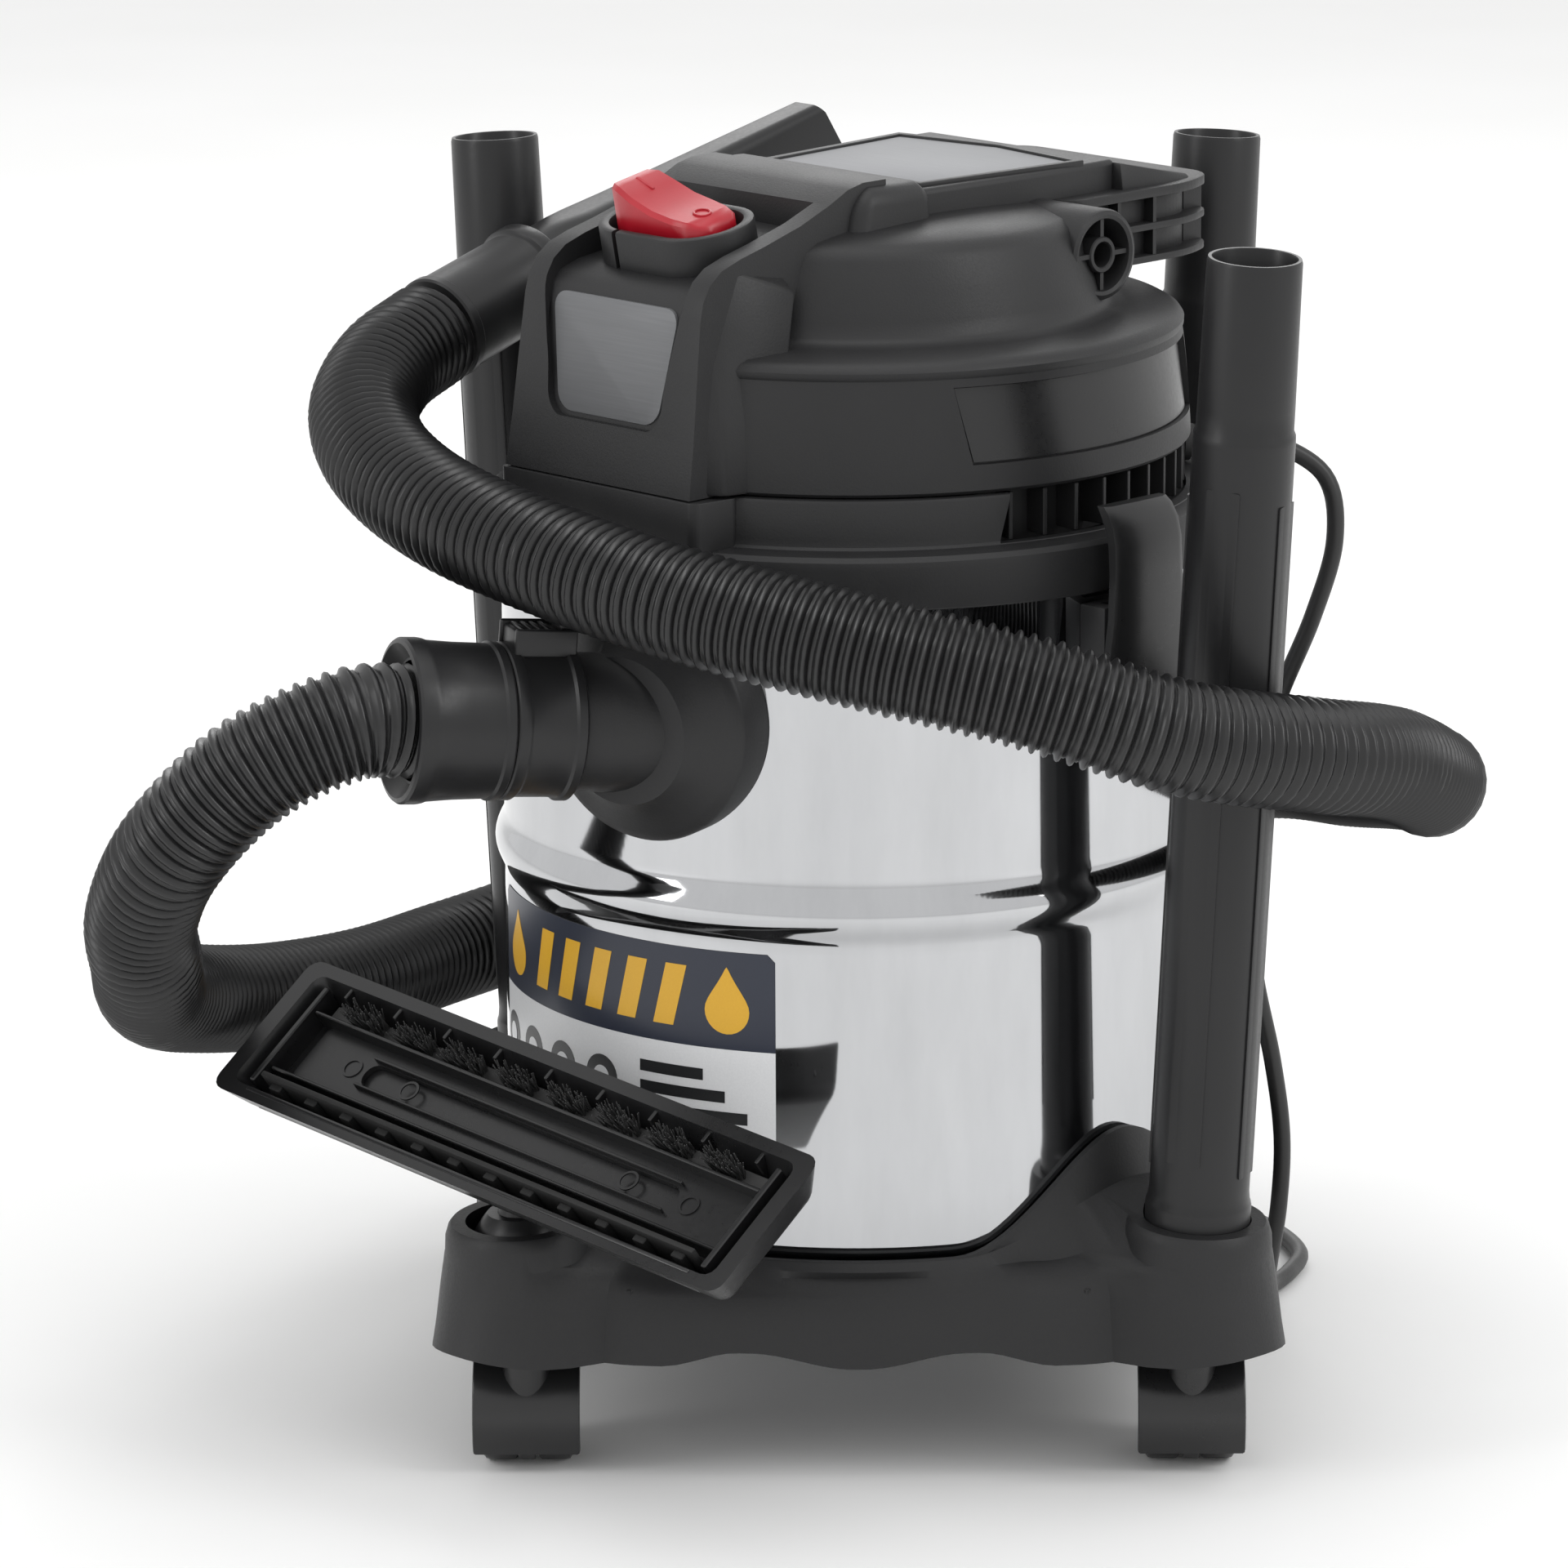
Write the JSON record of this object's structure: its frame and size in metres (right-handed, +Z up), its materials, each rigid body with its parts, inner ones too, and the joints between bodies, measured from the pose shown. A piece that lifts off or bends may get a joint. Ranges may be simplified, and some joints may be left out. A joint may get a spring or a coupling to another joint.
{
  "type": "shop vacuum",
  "caption": "Wet and dry shop vacuum: steel drum on a caster dolly, clamp-on motor head, wrapped ribbed hose, parked wands, floor tool and crevice tool.",
  "frame": {"origin": "on the floor under the axis of the drum", "axes": "+Z up, -Y towards the front with the switch, the label and the hose inlet, +X to the machine's right"},
  "size_m": [0.5602, 0.5713, 0.4855],
  "materials": {
    "black_plastic": "fine textured black polypropylene",
    "smooth_black": "smooth moulded black polypropylene",
    "steel": "mirror-polished stainless steel",
    "red_plastic": "semi-gloss red plastic",
    "grey_plate": "satin grey film",
    "rubber": "soft black rubber or PVC",
    "filter_paper": "pleated paper",
    "label_film": "printed vinyl film",
    "bristle": "dark nylon bristle",
    "zinc_steel": "zinc-plated steel sheet"
  },
  "bodies": {
    "dolly_and_drum": {"base_dolly": "black_plastic", "drum": "steel", "front_label": "label_film", "inlet_flange": "black_plastic", "inlet_clamp_ring": "black_plastic", "inlet_collar": "black_plastic", "inlet_cuff": "black_plastic", "inlet_button": "black_plastic", "latch_bracket_right": "black_plastic", "latch_bracket_left": "black_plastic", "suction_hose": "rubber", "end_cuff": "smooth_black", "crevice_tool": "smooth_black", "mains_cord": "rubber", "cord_coil": "rubber", "mains_plug": "rubber"},
    "motor_head": {"head_housing": "black_plastic", "vent_grille": "black_plastic", "head_cover": "black_plastic", "front_plate": "grey_plate", "top_plate": "grey_plate", "handle": "black_plastic", "switch_cup": "black_plastic", "switch_body": "smooth_black", "motor_can": "zinc_steel", "fan_housing": "zinc_steel", "filter_cage": "black_plastic", "cartridge_filter": "filter_paper", "filter_top_ring": "rubber", "filter_end_cap": "black_plastic", "tank_gasket": "rubber", "cord_gland": "rubber"},
    "switch_rocker": {"rocker_switch": "red_plastic"},
    "impeller": {"fan_impeller": "zinc_steel"},
    "float_ball": {"float": "rubber"},
    "clamp_right": {"latch_right": "smooth_black"},
    "clamp_left": {"latch_left": "smooth_black"},
    "swivel_front": {"caster_front": "black_plastic"},
    "wheelset_front": {"wheels_front": "smooth_black"},
    "tool_neck": {"nozzle_neck": "black_plastic"},
    "floor_tool": {"nozzle_head": "black_plastic", "nozzle_brush": "bristle", "nozzle_lip": "rubber", "nozzle_sole": "black_plastic"},
    "swivel_right": {"caster_right": "black_plastic"},
    "wheelset_right": {"wheels_right": "smooth_black"},
    "wand_right": {"tube_right": "black_plastic"},
    "swivel_back": {"caster_back": "black_plastic"},
    "wheelset_back": {"wheels_back": "smooth_black"},
    "wand_back": {"tube_back": "black_plastic"},
    "swivel_left": {"caster_left": "black_plastic"},
    "wheelset_left": {"wheels_left": "smooth_black"},
    "wand_left": {"tube_left": "black_plastic"}
  },
  "joints": [
    {"name": "head_lift", "type": "slide", "parent": "dolly_and_drum", "child": "motor_head", "axis": [0, 0, 1], "range_m": [0, 0.16]},
    {"name": "switch_rock", "type": "hinge", "parent": "motor_head", "child": "switch_rocker", "pos_m": [0, -0.094, 0.466], "axis": [0, 1, 0], "range_deg": [-10, 0]},
    {"name": "impeller_spin", "type": "hinge", "parent": "motor_head", "child": "impeller", "pos_m": [0, 0, 0.363], "axis": [0, 0, 1], "continuous": true},
    {"name": "float_rise", "type": "slide", "parent": "motor_head", "child": "float_ball", "axis": [0, 0, 1], "range_m": [0, 0.04]},
    {"name": "clamp_right_swing", "type": "hinge", "parent": "dolly_and_drum", "child": "clamp_right", "pos_m": [0.1465, 0, 0.306], "axis": [0, 1, 0], "range_deg": [0, 11]},
    {"name": "clamp_left_swing", "type": "hinge", "parent": "dolly_and_drum", "child": "clamp_left", "pos_m": [-0.1465, 0, 0.306], "axis": [0, -1, 0], "range_deg": [0, 11]},
    {"name": "swivel_front_turn", "type": "hinge", "parent": "dolly_and_drum", "child": "swivel_front", "pos_m": [0, -0.1784, 0.055], "axis": [0, 0, 1], "continuous": true},
    {"name": "wheels_front_roll", "type": "hinge", "parent": "swivel_front", "child": "wheelset_front", "pos_m": [-0.00919, -0.16921, 0.02], "axis": [0.7071, 0.7071, 0], "continuous": true},
    {"name": "floor_tool_pull", "type": "slide", "parent": "dolly_and_drum", "child": "tool_neck", "axis": [0, -0.0651, 0.9979], "range_m": [0, 0.03]},
    {"name": "swivel_right_turn", "type": "hinge", "parent": "dolly_and_drum", "child": "swivel_right", "pos_m": [0.1784, 0, 0.055], "axis": [0, 0, 1], "continuous": true},
    {"name": "wheels_right_roll", "type": "hinge", "parent": "swivel_right", "child": "wheelset_right", "pos_m": [0.16921, 0.00919, 0.02], "axis": [0.7071, 0.7071, 0], "continuous": true},
    {"name": "wand_right_pull", "type": "slide", "parent": "dolly_and_drum", "child": "wand_right", "axis": [0.0651, 0, 0.9979], "range_m": [0, 0.05]},
    {"name": "swivel_back_turn", "type": "hinge", "parent": "dolly_and_drum", "child": "swivel_back", "pos_m": [0, 0.1784, 0.055], "axis": [0, 0, 1], "continuous": true},
    {"name": "wheels_back_roll", "type": "hinge", "parent": "swivel_back", "child": "wheelset_back", "pos_m": [-0.00919, 0.18759, 0.02], "axis": [0.7071, 0.7071, 0], "continuous": true},
    {"name": "wand_back_pull", "type": "slide", "parent": "dolly_and_drum", "child": "wand_back", "axis": [0, 0.0651, 0.9979], "range_m": [0, 0.05]},
    {"name": "swivel_left_turn", "type": "hinge", "parent": "dolly_and_drum", "child": "swivel_left", "pos_m": [-0.1784, 0, 0.055], "axis": [0, 0, 1], "continuous": true},
    {"name": "wheels_left_roll", "type": "hinge", "parent": "swivel_left", "child": "wheelset_left", "pos_m": [-0.18759, 0.00919, 0.02], "axis": [0.7071, 0.7071, 0], "continuous": true},
    {"name": "wand_left_pull", "type": "slide", "parent": "dolly_and_drum", "child": "wand_left", "axis": [-0.0651, 0, 0.9979], "range_m": [0, 0.05]},
    {"name": "floor_tool_tilt", "type": "hinge", "parent": "tool_neck", "child": "floor_tool", "pos_m": [0.00194, -0.17403, 0.12059], "axis": [0.996, 0.0174, -0.0872], "range_deg": [-6, 6]}
  ]
}
